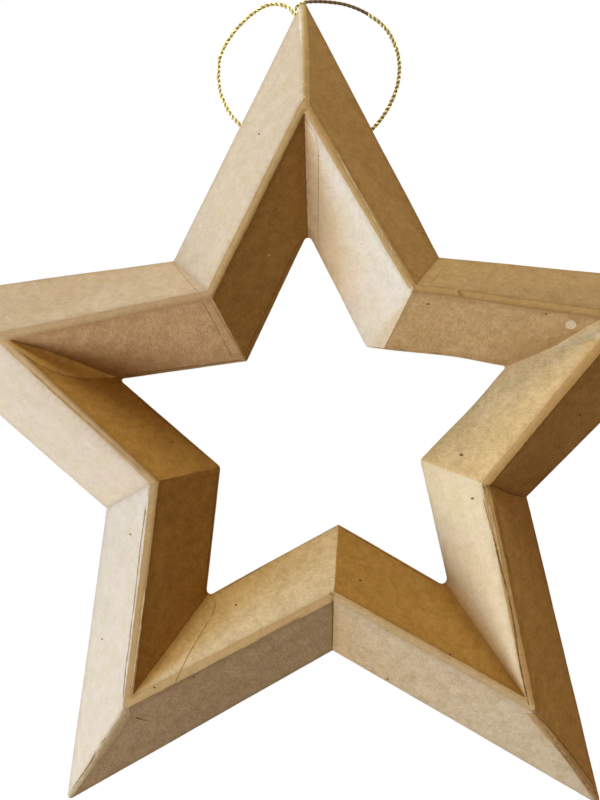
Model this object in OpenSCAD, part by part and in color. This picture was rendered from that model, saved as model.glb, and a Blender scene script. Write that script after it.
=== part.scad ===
// Open five-pointed star of folded kraft card, with a gold cord to hang it by.
//
// The ring is a hollow moulding of three-sided section. A flat die-cut panel closes its back.
// Five outer cards are folded over the points and meet at the notches between them. Five inner
// cards are folded over the corners of the opening and meet in the valleys behind the points.
// Outer and inner cards lean together at the ridge, where strips of kraft tape cover the joint.
//
// Every edge of the star is a rail: a ten-cornered line that runs round the ring at a fixed share
// of its width. The rails bend round each corner, and each piece is a section swept along them, so
// neighbours share their mitres and their folds.
//
// X runs to the right, Z up, and the front faces -Y. The origin is the mouth of the cord's hole, on
// the back of the top point, and the star hangs below it.

/* [Outline] */
// Distance from the centre to the tip of each point
point_reach = 105; // [95:1:130]
// Distance from the centre to each notch between the points
notch_reach = 52.5; // [48:0.5:60]
// Width of the ring, from its outer edge to the opening
ring_w = 25.5; // [20:0.5:28]
// Depth of the star, from its back to the tape on the ridge
star_d = 13; // [10:0.5:18]
// How far one step of the hand-made strays moves a corner: at 0 the star is regular
stray_step = 0.5; // [0:0.05:0.6]

/* [Card] */
// Thickness of the outer and inner cards
card_t = 1.2; // [0.6:0.1:1.6]
// Thickness of the back panel
back_t = 1.2; // [0.6:0.1:2.4]
// Radius of the folds over the points
fold_r = 0.8; // [0.5:0.1:1.4]
// Radius of the sharp corners where the ridge turns, at notches and valleys
ridge_r = 0.3; // [0.1:0.1:0.8]
// Radius of the crease where two outer cards meet at a notch
notch_r = 0.3; // [0.1:0.1:0.8]

/* [Tape] */
// Width of the tape, and of the flat top that it lies on
tape_w = 1.8; // [1.2:0.1:3]
// Thickness of the tape
tape_t = 0.3; // [0.1:0.05:0.6]

/* [Cord] */
// Diameter of the cord
cord_d = 1.2; // [0.8:0.1:1.4]
// Distance from the tip of the top point down to the cord's hole
hole_drop = 14; // [13:0.5:20]
// Clearance round the two strands in the hole
hole_gap = 0.15; // [0.05:0.05:0.4]
// Diameter of the knot inside the point
knot_d = 3.2; // [3:0.1:3.4]

/* [Hidden] */
$fn = 48;

// Corners are numbered clockwise from the top tip: even ones are tips, odd ones are notches
CORNERS = 10;
TURN = 360 / CORNERS;
// Each bend is drawn with this many chords, and a mitre falls on its middle point
BEND_STEPS = 4;
MITRE = BEND_STEPS / 2;

// Strays of the glued-up corners, in steps: away from the centre, and anticlockwise
OUTER_STRAY = [
    [0, -1], [-4, -2], [-1, -4], [-2, -3], [7, -4],
    [-2, 3], [0, -1], [2, 0], [15, -1], [2, 4]
];
RIDGE_STRAY = [
    [-2, 0], [2, -1], [-5, 0], [4, -3], [3, -1],
    [-1, 5], [-3, -2], [1, -3], [-1, -1], [3, 0]
];
OPENING_STRAY = [
    [1, 1], [-1, 3], [0, -2], [3, 0], [2, 3],
    [-3, 8], [0, 0], [2, 0], [4, 2], [0, 6]
];
// Radius of each corner of the opening, as cut and folded by hand
OPENING_R = [1, 1.2, 0.5, 1.5, 1.2, 0.4, 1, 1.5, 0.5, 0.4];
// How much wider each valley bends half-way down its slope, which is drawn in this many stretches
VALLEY_SOFT = [0.5, 0, 0.5, 0, 2, 0, 1.2, 0, 1, 0];
SLOPE_STEPS = 3;

// Distance from the centre to the straight outer edges, which sets how an inset shrinks the star
point_side = norm([
    notch_reach * sin(TURN), point_reach - notch_reach * cos(TURN)
]);
edge_reach = point_reach * notch_reach * sin(TURN) / point_side;

// The section, as places across the ring and heights above the back
half_w = ring_w / 2;
slope_w = half_w - tape_w / 2;
land_h = star_d - tape_t;
slope = atan((land_h - back_t) / slope_w);
foot_w = card_t / sin(slope);
joint_h = back_t + (half_w - foot_w) * tan(slope);

OUTER_SECTION = [
    [0, back_t], [slope_w, land_h], [half_w, land_h], [half_w, joint_h], [foot_w, back_t]
];
INNER_SECTION = [
    for (i = [0:SLOPE_STEPS - 1])
        between([ring_w - foot_w, back_t], [half_w, joint_h], i / SLOPE_STEPS),
    [half_w, joint_h], [half_w, land_h],
    for (i = [0:SLOPE_STEPS])
        between([ring_w - slope_w, land_h], [ring_w, back_t], i / SLOPE_STEPS)
];
TAPE_SECTION = [
    [slope_w, land_h], [slope_w, star_d], [ring_w - slope_w, star_d], [ring_w - slope_w, land_h]
];

// The star's centre lies below the origin, which is the cord's hole in the top point
centre_z = hole_drop - point_reach;
hole_r = cord_d + hole_gap;
// The two strands lie side by side in the hole
strand_x = cord_d / 2 + hole_gap / 4;

// Route of the cord's middle line, from the knot up the back, round the loop and back to the knot
CORD_SIDES = 8;
CORD_STEPS = 2;
KNOT_FACE = -back_t;
CORD_ROUTE = [
    [-strand_x, KNOT_FACE, 0], [-strand_x, KNOT_FACE / 2, 0], [-strand_x, 0, 0],
    [-0.7, 1.6, 0.7], [-0.8, 2.3, 3.4], [-1, 1.4, 7.6], [-1.9, 0.8, 11.2], [-3.6, 0.9, 13.1],
    [-6.2, 1, 14], [-9.4, 1.1, 13.5], [-13.4, 1.2, 11], [-17.4, 1.4, 7], [-20.2, 1.5, 2.4],
    [-21, 1.6, -1.8], [-20.8, 1.6, -6.6], [-19, 1.6, -11.6], [-16, 1.6, -15.6],
    [-10.8, 1.5, -19.9], [-4, 1.4, -23], [4, 1.4, -23.5], [10.8, 1.5, -21.6], [16, 1.6, -18.1],
    [20, 1.6, -13.2], [22.7, 1.6, -7], [23.1, 1.6, -0.2], [20.7, 1.6, 6.2], [16.6, 1.6, 10.2],
    [11.6, 1.6, 12.9], [6.4, 1.8, 14.2], [1.8, 2.1, 14.6], [-0.7, 2.4, 14.2],
    [-1.8, 2.9, 12.6], [-1.4, 3.5, 9.8], [0, 3.7, 6.4], [0.7, 3.4, 3.2], [0.7, 1.6, 0.7],
    [strand_x, 0, 0], [strand_x, KNOT_FACE / 2, 0], [strand_x, KNOT_FACE, 0]
];

function unit(v) = v / norm(v);
function between(a, b, share) = a * (1 - share) + b * share;

// One corner of a star outline that is set in from the outer edge
function star_corner(k, inset, stray) =
    let (
        out = [sin(k * TURN), cos(k * TURN)],
        anticlockwise = [-out.y, out.x],
        reach = (k % 2 == 0 ? point_reach : notch_reach) * (1 - inset / edge_reach)
    )
    out * (reach + stray[k].x * stray_step) + anticlockwise * stray[k].y * stray_step;

function star_line(inset, stray) = [for (k = [0:CORNERS - 1]) star_corner(k, inset, stray)];

OUTER_LINE = star_line(0, OUTER_STRAY);
RIDGE_LINE = star_line(half_w, RIDGE_STRAY);
OPENING_LINE = star_line(ring_w, OPENING_STRAY);

// Corner k of the rail that runs s across the ring, where 0 is the outer edge
function rail_corner(s, k) =
    let (i = (k + CORNERS) % CORNERS)
    s < half_w
        ? between(OUTER_LINE[i], RIDGE_LINE[i], s / half_w)
        : between(RIDGE_LINE[i], OPENING_LINE[i], s / half_w - 1);

// Radius at which that rail bends round the corner. Folds over the points keep theirs up to the
// ridge. All corners are sharp at the tape's inner edge, and from there they open to the opening's.
function bend_r(s, k) =
    let (
        i = (k + CORNERS) % CORNERS,
        at_edge = i % 2 == 0 ? fold_r : notch_r,
        at_ridge = i % 2 == 0 ? fold_r : ridge_r,
        share = (s - ring_w + slope_w) / slope_w
    )
    s < half_w
        ? between(at_edge, at_ridge, s / half_w)
        : share < 0
            ? between(ridge_r, at_ridge, share * slope_w / (half_w + slope_w - ring_w))
            : between(ridge_r, OPENING_R[i], share) + VALLEY_SOFT[i] * 4 * share * (1 - share);

// Points along the round that takes the place of a sharp corner
function bend(before, corner, after, r) =
    let (
        u = unit(before - corner),
        v = unit(after - corner),
        half = acos(u * v) / 2,
        middle = corner + unit(u + v) * r / sin(half),
        first = corner + u * r / tan(half) - middle,
        last = corner + v * r / tan(half) - middle,
        sweep = 180 - 2 * half
    )
    [
        for (j = [0:BEND_STEPS])
            let (a = sweep * j / BEND_STEPS)
            middle + (first * sin(sweep - a) + last * sin(a)) / sin(sweep)
    ];

function rail_bend(s, k) =
    bend(rail_corner(s, k - 1), rail_corner(s, k), rail_corner(s, k + 1), bend_r(s, k));

function rail(s) = [for (k = [0:CORNERS - 1]) each rail_bend(s, k)];

// The section where it crosses step j of the bend at corner k, as points in space
function station(section, k, j) = [
    for (p = section)
        let (q = rail_bend(p.x, k)[j])
        [q.x, -p.y, q.y + centre_z]
];

// All stations from the mitre before corner k, round its fold, to the mitre after it
function stations(section, k) = [
    for (j = [MITRE:BEND_STEPS]) station(section, k - 1, j),
    for (j = [0:BEND_STEPS]) station(section, k, j),
    for (j = [0:MITRE]) station(section, k + 1, j)
];

// Triangles that close a ring of n points, laid to and fro across it, which suits bent sections too
function cap(n) = [
    for (i = [0:n - 3])
        let (low = ceil(i / 2), high = n - 1 - floor(i / 2))
        [low, i % 2 == 0 ? low + 1 : high - 1, high]
];

// A closed solid through a list of stations that all have the same number of points
module skin(rings) {
    n = len(rings[0]);
    last = (len(rings) - 1) * n;
    sides = [
        for (i = [0:len(rings) - 2], j = [0:n - 1])
            let (a = i * n + j, b = i * n + (j + 1) % n)
            each [[b, a, a + n], [b, a + n, b + n]]
    ];
    start_cap = cap(n);
    end_cap = [for (t = start_cap) [last + t.z, last + t.y, last + t.x]];
    polyhedron(points = [for (ring = rings) each ring], faces = [each sides, each start_cap, each end_cap]);
}

// Lays a drawing of the plan, seen from the front, on the back plane and raises it forwards
module raised(h) {
    rotate([90, 0, 0]) linear_extrude(h) children();
}

module back_panel() {
    color("tan") difference() {
        raised(back_t) translate([0, centre_z]) difference() {
            polygon(rail(0));
            polygon(rail(ring_w));
        }
        rotate([90, 0, 0]) translate([0, 0, -back_t]) cylinder(h = 3 * back_t, r = hole_r);
    }
}

// Card folded over tip k, from the notch before it to the notch after it
module outer_card(k) {
    color("burlywood") skin(stations(OUTER_SECTION, k));
}

// Card folded over corner k of the opening, from the valley before it to the valley after it
module inner_card(k) {
    color("peru") skin(stations(INNER_SECTION, k));
}

module ridge_tape(k) {
    color("wheat") skin(stations(TAPE_SECTION, k));
}

// A smooth line through the chosen points, with CORD_STEPS stretches between each two
function smooth_point(a, b, c, d, t) =
    (2 * b + (c - a) * t + (2 * a - 5 * b + 4 * c - d) * t * t + (3 * b - a - 3 * c + d) * t * t * t) / 2;
function smooth(points) =
    let (n = len(points) - 1)
    [
        for (i = [0:n - 1], step = [0:CORD_STEPS - 1])
            smooth_point(
                points[max(i - 1, 0)], points[i], points[i + 1], points[min(i + 2, n)], step / CORD_STEPS
            ),
        points[n]
    ];

function headings(line) = [
    for (i = [0:len(line) - 1])
        unit(line[min(i + 1, len(line) - 1)] - line[max(i - 1, 0)])
];

// Carries a side direction along the line so that the rings of the tube don't twist
function sides_along(heads, i = 0, side = [1, 0, 0]) =
    i == len(heads)
        ? []
        : let (now = unit(side - heads[i] * (heads[i] * side)))
          concat([now], sides_along(heads, i + 1, now));

module tube(line, d) {
    heads = headings(line);
    sides = sides_along(heads);
    skin([
        for (i = [0:len(line) - 1])
            let (up = cross(sides[i], heads[i]))
            [
                for (j = [0:CORD_SIDES - 1])
                    let (a = 360 * j / CORD_SIDES)
                    line[i] + (sides[i] * cos(a) + up * sin(a)) * d / 2
            ]
    ]);
}

module hanging_cord() {
    color("goldenrod") tube(smooth(CORD_ROUTE), cord_d);
}

// Two turns of cord drawn tight against the front of the back panel
module cord_knot() {
    turn_r = knot_d / 4;
    color("darkgoldenrod") rotate([90, 0, 0]) translate([0, 0, back_t]) rotate_extrude() {
        for (turn = [0:1])
            translate([turn_r, turn_r + turn * turn_r]) circle(turn_r);
        square([turn_r, 3 * turn_r]);
        square([2 * turn_r, turn_r]);
    }
}

back_panel();
outer_card(0);  // outer_card_top
outer_card(2);  // outer_card_right
outer_card(4);  // outer_card_lower_right
outer_card(6);  // outer_card_lower_left
outer_card(8);  // outer_card_left
inner_card(1);  // inner_card_upper_right
inner_card(3);  // inner_card_right
inner_card(5);  // inner_card_bottom
inner_card(7);  // inner_card_left
inner_card(9);  // inner_card_upper_left
ridge_tape(0);  // ridge_tape_top
ridge_tape(2);  // ridge_tape_right
ridge_tape(4);  // ridge_tape_lower_right
ridge_tape(6);  // ridge_tape_lower_left
ridge_tape(8);  // ridge_tape_left
hanging_cord();
cord_knot();
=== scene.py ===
# %% [markdown]
# # A cardboard star to hang up
# This lesson dresses one real object: an open star folded from kraft card, hung from a loop of
# gold cord. The solid model is ready, so Blender adds what a solid can't have: fibres
# and flecks in the card, soft folds, frayed paper tape, glued bands and a twisted cord.
# The first cell loads the imported model as a fixed frame. Nothing in it may move.

# %% Load the frame
import math

import bmesh
import bpy
from mathutils import Matrix, Vector, noise
from mathutils.bvhtree import BVHTree


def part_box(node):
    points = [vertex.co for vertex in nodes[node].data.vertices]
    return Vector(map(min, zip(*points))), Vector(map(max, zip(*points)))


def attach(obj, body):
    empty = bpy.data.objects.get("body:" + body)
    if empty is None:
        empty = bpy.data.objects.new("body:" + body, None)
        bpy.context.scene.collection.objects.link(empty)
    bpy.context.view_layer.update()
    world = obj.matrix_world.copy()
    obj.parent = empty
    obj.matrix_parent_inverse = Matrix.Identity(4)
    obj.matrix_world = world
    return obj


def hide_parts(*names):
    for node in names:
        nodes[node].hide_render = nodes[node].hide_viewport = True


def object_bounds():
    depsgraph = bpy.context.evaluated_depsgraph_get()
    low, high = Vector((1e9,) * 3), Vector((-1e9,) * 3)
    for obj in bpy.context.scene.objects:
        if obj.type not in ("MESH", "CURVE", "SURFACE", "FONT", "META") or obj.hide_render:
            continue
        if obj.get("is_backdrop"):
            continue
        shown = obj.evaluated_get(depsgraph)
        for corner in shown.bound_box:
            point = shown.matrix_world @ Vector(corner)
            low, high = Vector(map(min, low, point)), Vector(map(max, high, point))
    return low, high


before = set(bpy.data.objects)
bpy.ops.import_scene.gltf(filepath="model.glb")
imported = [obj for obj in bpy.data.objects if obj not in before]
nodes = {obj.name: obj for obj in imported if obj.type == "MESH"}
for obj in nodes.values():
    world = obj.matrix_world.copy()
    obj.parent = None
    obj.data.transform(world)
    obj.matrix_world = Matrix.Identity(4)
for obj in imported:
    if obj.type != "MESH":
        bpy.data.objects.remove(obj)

MM = 0.001
cad_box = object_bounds()
print("pieces in the frame:", len(nodes), "box in mm:", [tuple(round(x / MM, 1) for x in c) for c in cad_box])

# %% [markdown]
# ## The camera
# The star almost fills the picture, and its side points run out of it, so the camera stood close:
# about one and a third star widths away, a little right of the middle and below it. A long lens
# from further off would lose the way the right-hand slopes narrow. The place and the turn come
# from a fit of the star's corners, and the lens from the same fit.

# %% Camera
PICTURE_W, PICTURE_H = 600, 800
FOCAL_PX = 1106.4
SENSOR_MM = 36
NEAREST_SEEN = 0.01
CAMERA_AT = Vector((4.86, -263.7, -99.02)) * MM
CAMERA_RIGHT = Vector((0.99869, 0.03552, -0.0368)).normalized()
CAMERA_BACK = Vector((0.03331, -0.9977, -0.05905)).normalized()

right = (CAMERA_RIGHT - CAMERA_BACK * CAMERA_RIGHT.dot(CAMERA_BACK)).normalized()
up = CAMERA_BACK.cross(right)
turn = Matrix((right, up, CAMERA_BACK)).transposed().to_4x4()

lens = bpy.data.cameras.new("lens")
lens.sensor_width = SENSOR_MM
lens.lens = FOCAL_PX * SENSOR_MM / PICTURE_H
lens.clip_start = NEAREST_SEEN
camera = bpy.data.objects.new("camera", lens)
camera.matrix_world = Matrix.Translation(CAMERA_AT) @ turn
bpy.context.scene.collection.objects.link(camera)
bpy.context.scene.camera = camera
bpy.context.scene.view_settings.view_transform = "Standard"
print("camera lens:", round(lens.lens, 2), "mm")


def sight(px, py):
    """Direction in which the camera sees a pixel of the picture."""
    return (right * (px - PICTURE_W / 2) + up * (PICTURE_H / 2 - py) - CAMERA_BACK * FOCAL_PX).normalized()


# %% [markdown]
# ## Shader sums in plain Python
# Node graphs are easier to read as sums. One small class wraps a socket, and its operators add
# Math nodes. Colours go through Mix nodes instead, because a Math node would turn them grey.

# %% A socket that can be added and multiplied
class Wire:
    """One output socket, which may be used in a sum."""

    def __init__(self, tree, socket):
        self.tree = tree
        self.socket = socket

    def node(self, kind, settings=None, **values):
        """Adds a node: its settings first, then the values or wires of its inputs."""
        new = self.tree.nodes.new(kind)
        for key, value in (settings or {}).items():
            setattr(new, key, value)
        for key, value in values.items():
            plug(self.tree, find_input(new, key), value)
        return new

    def maths(self, operation, *values):
        new = self.tree.nodes.new("ShaderNodeMath")
        new.operation = operation
        for socket, value in zip(new.inputs, values):
            plug(self.tree, socket, value)
        return Wire(self.tree, new.outputs[0])

    def __add__(self, other):
        return self.maths("ADD", self, other)

    def __sub__(self, other):
        return self.maths("SUBTRACT", self, other)

    def __rsub__(self, other):
        return self.maths("SUBTRACT", other, self)

    def __mul__(self, other):
        return self.maths("MULTIPLY", self, other)

    def most(self, other):
        return self.maths("MAXIMUM", self, other)

    def clipped(self):
        return self.maths("MINIMUM", self.maths("MAXIMUM", self, 0.0), 1.0)

    def ramp(self, low, high):
        """0 below low, 1 above high and a smooth step between them."""
        new = self.node("ShaderNodeMapRange", {"interpolation_type": "SMOOTHSTEP"}, Value=self)
        plug(self.tree, new.inputs["From Min"], low)
        plug(self.tree, new.inputs["From Max"], high)
        return Wire(self.tree, new.outputs["Result"])

    __radd__ = __add__
    __rmul__ = __mul__


# %% Plugging values and wires into a node
def plug(tree, socket, value):
    """Links a wire to an input, or sets the input to a plain value."""
    if isinstance(value, Wire):
        tree.links.new(value.socket, socket)
    elif socket.type == "RGBA" and len(value) == 3:
        socket.default_value = (*value, 1.0)
    else:
        socket.default_value = value


def find_input(new, key):
    """The input with that name: an underscore in the key stands for a space."""
    wanted = key.replace("_", " ")
    return next(s for s in new.inputs if s.name == wanted and s.enabled)


# %% A material with its helpers
class Finish:
    """A material whose shader inputs are written as sums of wires."""

    def __init__(self, name, **constants):
        self.material = bpy.data.materials.new(name)
        self.material.use_nodes = True
        self.tree = self.material.node_tree
        self.shader = self.tree.nodes["Principled BSDF"]
        for key, value in constants.items():
            plug(self.tree, find_input(self.shader, key), value)
        place = self.tree.nodes.new("ShaderNodeTexCoord")
        self.place = Wire(self.tree, place.outputs["Object"])

    def attribute(self, name, output="Fac"):
        """A number or a colour that the mesh code left at the vertices."""
        new = self.place.node("ShaderNodeAttribute", {"attribute_name": name})
        return Wire(self.tree, new.outputs[output])

    def grain(self, size, detail=2.0, roughness=0.5, place=None):
        """Soft noise from 0 to 1 whose lumps are about that many millimetres across."""
        new = self.place.node(
            "ShaderNodeTexNoise", Vector=place or self.place, Scale=1 / (size * MM),
            Detail=detail, Roughness=roughness,
        )
        return Wire(self.tree, new.outputs["Fac"])

    def spots(self, spacing):
        """Distance to the nearest of many scattered points, and a random colour of that point."""
        new = self.place.node("ShaderNodeTexVoronoi", Vector=self.place, Scale=1 / (spacing * MM))
        return Wire(self.tree, new.outputs["Distance"]), Wire(self.tree, new.outputs["Color"])

    def stretched(self, angle, length):
        """Places turned in the plane of the star and squeezed along it, so noise becomes fibres."""
        new = self.place.node("ShaderNodeMapping", Vector=self.place)
        new.inputs["Rotation"].default_value = (0.0, math.radians(angle), 0.0)
        new.inputs["Scale"].default_value = (1 / length, 1.0, 1.0)
        return Wire(self.tree, new.outputs["Vector"])

    def mixed(self, share, first, second, blend="MIX"):
        new = self.place.node("ShaderNodeMix", {"data_type": "RGBA", "blend_type": blend})
        plug(self.tree, new.inputs["Factor"], share)
        plug(self.tree, next(s for s in new.inputs if s.name == "A" and s.type == "RGBA"), first)
        plug(self.tree, next(s for s in new.inputs if s.name == "B" and s.type == "RGBA"), second)
        return Wire(self.tree, next(s for s in new.outputs if s.type == "RGBA"))

    def red_of(self, colour):
        new = self.place.node("ShaderNodeSeparateColor", Color=colour)
        return Wire(self.tree, new.outputs["Red"])

    def raised_by(self, height, depth_mm):
        """Bumps the surface by a height from 0 to 1, which stands for that depth."""
        new = self.place.node("ShaderNodeBump", Height=height, Distance=depth_mm * MM, Strength=1.0)
        plug(self.tree, self.shader.inputs["Normal"], Wire(self.tree, new.outputs["Normal"]))

    def set(self, **wires):
        for key, value in wires.items():
            plug(self.tree, find_input(self.shader, key), value)
        return self.material


# %% [markdown]
# ## Kraft card
# Kraft is unbleached pulp: tan, matt, cloudy at every scale from a fifth of a millimetre to a few
# millimetres, with fibres pressed flat in every direction and now and then a fleck of bark. An
# image would do, but it would not follow the folds. Noise whose small clouds are as strong as its
# large ones gives the pulp, finer noise drawn out along four directions reads as fibres, and
# scattered points give the flecks. The mesh says what colour its paper is, in an attribute named
# sheet, whose alpha says how cloudy the paper is, so one pattern serves every sheet. Folded and cut
# edges are rubbed: an attribute named wear is above 0 there.

# %% Kraft card and its relatives
KRAFT = (0.62, 0.44, 0.215)
BARK = (0.11, 0.055, 0.022)
DARK_PULP = (0.84, 0.81, 0.75)
PALE_PULP = (1.16, 1.19, 1.25)
ROSY_PULP = (1.01, 0.995, 1.04)
STRAW_PULP = (0.99, 1.0, 0.94)
PALE_FIBRE = (1.30, 1.36, 1.5)
DARK_FIBRE = (0.74, 0.68, 0.6)
DARK_WEAR = (0.66, 0.58, 0.5)
SOILED = (0.86, 0.80, 0.72)
FIBRE_TURNS = (12, 57, 101, 148)
DARK_FIBRE_TURN = 80
PULP_MM = 3.2
PULP_CONTRAST = 2.3
HUE_MM = 5
FIBRE_MM, FIBRE_STRETCH, FIBRE_RAMP = 0.42, 9, (0.64, 0.80)
DARK_FIBRE_MM, DARK_FIBRE_STRETCH, DARK_FIBRE_RAMP = 0.5, 6, (0.64, 0.78)
FIBRE_SHARE = 0.4
RUB_MM, LEAST_RUB, RUB_GAIN, WEAR_SHARE = 2.2, 0.4, 1.2, 0.5
SPECK_GAP_MM, SPECK_EDGE, SPECK_PICK, SPECK_SHARE = 3.1, (0.03, 0.08), (0.80, 0.82), 0.6
PULP_HEIGHT, FIBRE_HEIGHT, RELIEF_MM = 0.7, 0.3, 0.20


def kraft(name, mottle=1.0, worn=DARK_WEAR):
    """Matt kraft pulp of the mesh's own colour and cloudiness, which mottle makes stronger."""
    it = Finish(name, Roughness=0.88, Specular_IOR_Level=0.22)
    pulp = it.grain(PULP_MM, detail=4, roughness=1.0)
    hue = it.grain(HUE_MM, detail=3, roughness=0.9)
    fibres = None
    for angle in FIBRE_TURNS:
        line = it.grain(FIBRE_MM, detail=2, roughness=0.6, place=it.stretched(angle, FIBRE_STRETCH))
        fibres = line if fibres is None else fibres.most(line)
    dark_fibres = it.grain(
        DARK_FIBRE_MM, detail=2, roughness=0.6, place=it.stretched(DARK_FIBRE_TURN, DARK_FIBRE_STRETCH),
    )
    cloudy = it.attribute("sheet", "Alpha") * mottle
    pattern = it.mixed((pulp - 0.5) * cloudy * PULP_CONTRAST + 0.5, DARK_PULP, PALE_PULP)
    tint = it.mixed(hue.ramp(0.35, 0.65), ROSY_PULP, STRAW_PULP)
    pattern = it.mixed(1.0, pattern, tint, "MULTIPLY")
    pattern = it.mixed(fibres.ramp(*FIBRE_RAMP) * FIBRE_SHARE, pattern, PALE_FIBRE)
    pattern = it.mixed(dark_fibres.ramp(*DARK_FIBRE_RAMP) * FIBRE_SHARE, pattern, DARK_FIBRE)
    wear = it.attribute("wear") * (LEAST_RUB + RUB_GAIN * it.grain(RUB_MM, detail=3))
    pattern = it.mixed(wear.clipped() * WEAR_SHARE, pattern, worn)
    colour = it.mixed(1.0, it.attribute("sheet", "Color"), pattern, "MULTIPLY")
    near, pick = it.spots(SPECK_GAP_MM)
    speck = (1 - near.ramp(*SPECK_EDGE)) * it.red_of(pick).ramp(*SPECK_PICK)
    colour = it.mixed(speck * SPECK_SHARE, colour, BARK)
    it.raised_by((pulp * PULP_HEIGHT + fibres * FIBRE_HEIGHT) * cloudy, RELIEF_MM)
    return it.set(Base_Color=colour)


card_paper = kraft("kraft card")
board_paper = kraft("back board", mottle=0.8)
tape_paper = kraft("kraft tape", mottle=1.1, worn=SOILED)
scrap_paper = kraft("kraft scraps", mottle=1.2)
print("kraft finishes made:", [m.name for m in (card_paper, board_paper, tape_paper, scrap_paper)])

# %% [markdown]
# ## Gold cord
# The cord is a brown core with two metallic threads laid round it, about 1.2 mm thick in all. It
# leaves the hole in the back of the top point, rises behind the tip, droops in one loop behind the
# point and comes back to the same hole. A curve object with a round bevel would give the loop, but
# the threads need a line that is known point by point. So a smooth line is worked out here through
# the same route points as in the solid model, and everything else is wound along it.

# %% The cord's route
STRAND_X = 0.6375
CORD_EXIT = (-STRAND_X, 0, 0)
ROUTE_STEPS = 8
CORD_STEP_MM = 0.2
CORD_ROUTE = [
    (-STRAND_X, -1.2, 0), (-STRAND_X, -0.6, 0), CORD_EXIT,
    (-0.7, 1.6, 0.7), (-0.8, 2.3, 3.4), (-1, 1.4, 7.6), (-1.9, 0.8, 11.2), (-3.6, 0.9, 13.1),
    (-6.2, 1, 14), (-9.4, 1.1, 13.5), (-13.4, 1.2, 11), (-17.4, 1.4, 7), (-20.2, 1.5, 2.4),
    (-21, 1.6, -1.8), (-20.8, 1.6, -6.6), (-19, 1.6, -11.6), (-16, 1.6, -15.6),
    (-10.8, 1.5, -19.9), (-4, 1.4, -23), (4, 1.4, -23.5), (10.8, 1.5, -21.6), (16, 1.6, -18.1),
    (20, 1.6, -13.2), (22.7, 1.6, -7), (23.1, 1.6, -0.2), (20.7, 1.6, 6.2), (16.6, 1.6, 10.2),
    (11.6, 1.6, 12.9), (6.4, 1.8, 14.2), (1.8, 2.1, 14.6), (-0.7, 2.4, 14.2),
    (-1.8, 2.9, 12.6), (-1.4, 3.5, 9.8), (0, 3.7, 6.4), (0.7, 3.4, 3.2), (0.7, 1.6, 0.7),
    (STRAND_X, 0, 0), (STRAND_X, -0.6, 0), (STRAND_X, -1.2, 0),
]


def smooth_line(points, steps):
    """A Catmull-Rom line through the points, with that many stretches between each two."""
    last = len(points) - 1
    line = []
    for i in range(last):
        a, b, c, d = (points[max(0, min(last, i + k))] for k in (-1, 0, 1, 2))
        for step in range(steps):
            t = step / steps
            line.append((2 * b + (c - a) * t + (2 * a - 5 * b + 4 * c - d) * t ** 2
                         + (3 * b - a - 3 * c + d) * t ** 3) / 2)
    return line + [points[last]]


def even_line(points, gap):
    """The same line with points at even gaps."""
    lengths = [(b - a).length for a, b in zip(points, points[1:])]
    count = max(1, round(sum(lengths) / gap))
    step = sum(lengths) / count
    line = [points[0]]
    i, done = 0, 0.0
    for k in range(1, count):
        while done + lengths[i] < step * k:
            done += lengths[i]
            i += 1
        line.append(points[i].lerp(points[i + 1], (step * k - done) / lengths[i]))
    return line + [points[-1]]


cord_line = even_line(smooth_line([Vector(p) * MM for p in CORD_ROUTE], ROUTE_STEPS), CORD_STEP_MM * MM)
cord_length = sum((b - a).length for a, b in zip(cord_line, cord_line[1:]))
print("cord length in mm:", round(cord_length / MM, 1))


# %% Tubes along a line
def frames_along(line):
    """Two side directions at every point, carried along so that they don't twist."""
    frames, side = [], Vector((1, 0, 0))
    for i in range(len(line)):
        head = (line[min(i + 1, len(line) - 1)] - line[max(i - 1, 0)]).normalized()
        side = (side - head * side.dot(head)).normalized()
        frames.append((side, head.cross(side)))
    return frames


# %% Collecting a mesh
SHARP_DEG = 35
BLACK = (0.0, 0.0, 0.0)
WHITE = (1.0, 1.0, 1.0)


def with_mottle(colour):
    """A colour in four numbers, of which the last is its cloudiness, 1 where it has none."""
    return (*colour, 1.0)[:4]


class Build:
    """Vertices and faces collected for one mesh, with one colour kept at each vertex."""

    def __init__(self):
        self.points, self.faces, self.marks = [], [], []

    def tube(self, line, radius, sides, mark=BLACK, taper=False):
        """A round tube along a line, of one colour or of a colour for each place."""
        first = len(self.points)
        for i, (centre, (a, b)) in enumerate(zip(line, frames_along(line))):
            r = radius * (1 - i / len(line)) if taper else radius
            for k in range(sides):
                angle = math.tau * k / sides
                self.points.append(centre + (a * math.cos(angle) + b * math.sin(angle)) * r)
                self.marks.append(mark(centre) if callable(mark) else mark)
        for i in range(len(line) - 1):
            for k in range(sides):
                p, q = first + i * sides + k, first + i * sides + (k + 1) % sides
                self.faces.append((p, q, q + sides, p + sides))
        end = first + (len(line) - 1) * sides
        self.faces.append(tuple(range(first + sides - 1, first - 1, -1)))
        self.faces.append(tuple(range(end, end + sides)))

    def add(self, points, faces, marks):
        """Adds a ready mesh, with a colour for each of its points."""
        first = len(self.points)
        self.points += points
        self.faces += [tuple(first + i for i in face) for face in faces]
        self.marks += marks

    def piece(self, name, material, slot, mark_name):
        """Makes the mesh into a piece of the star, with the colours in a named attribute."""
        mesh = bpy.data.meshes.new(name)
        mesh.from_pydata(self.points, [], self.faces)
        marks = mesh.attributes.new(mark_name, "FLOAT_COLOR", "POINT")
        marks.data.foreach_set("color", [c for mark in self.marks for c in with_mottle(mark)])
        for face in mesh.polygons:
            face.use_smooth = True
        mesh.set_sharp_from_angle(angle=math.radians(SHARP_DEG))
        mesh.materials.append(material)
        return placed(bpy.data.objects.new(name, mesh))


def placed(piece):
    """Adds a finished piece to the scene, on the star."""
    bpy.context.scene.collection.objects.link(piece)
    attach(piece, "root")
    return piece
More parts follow.
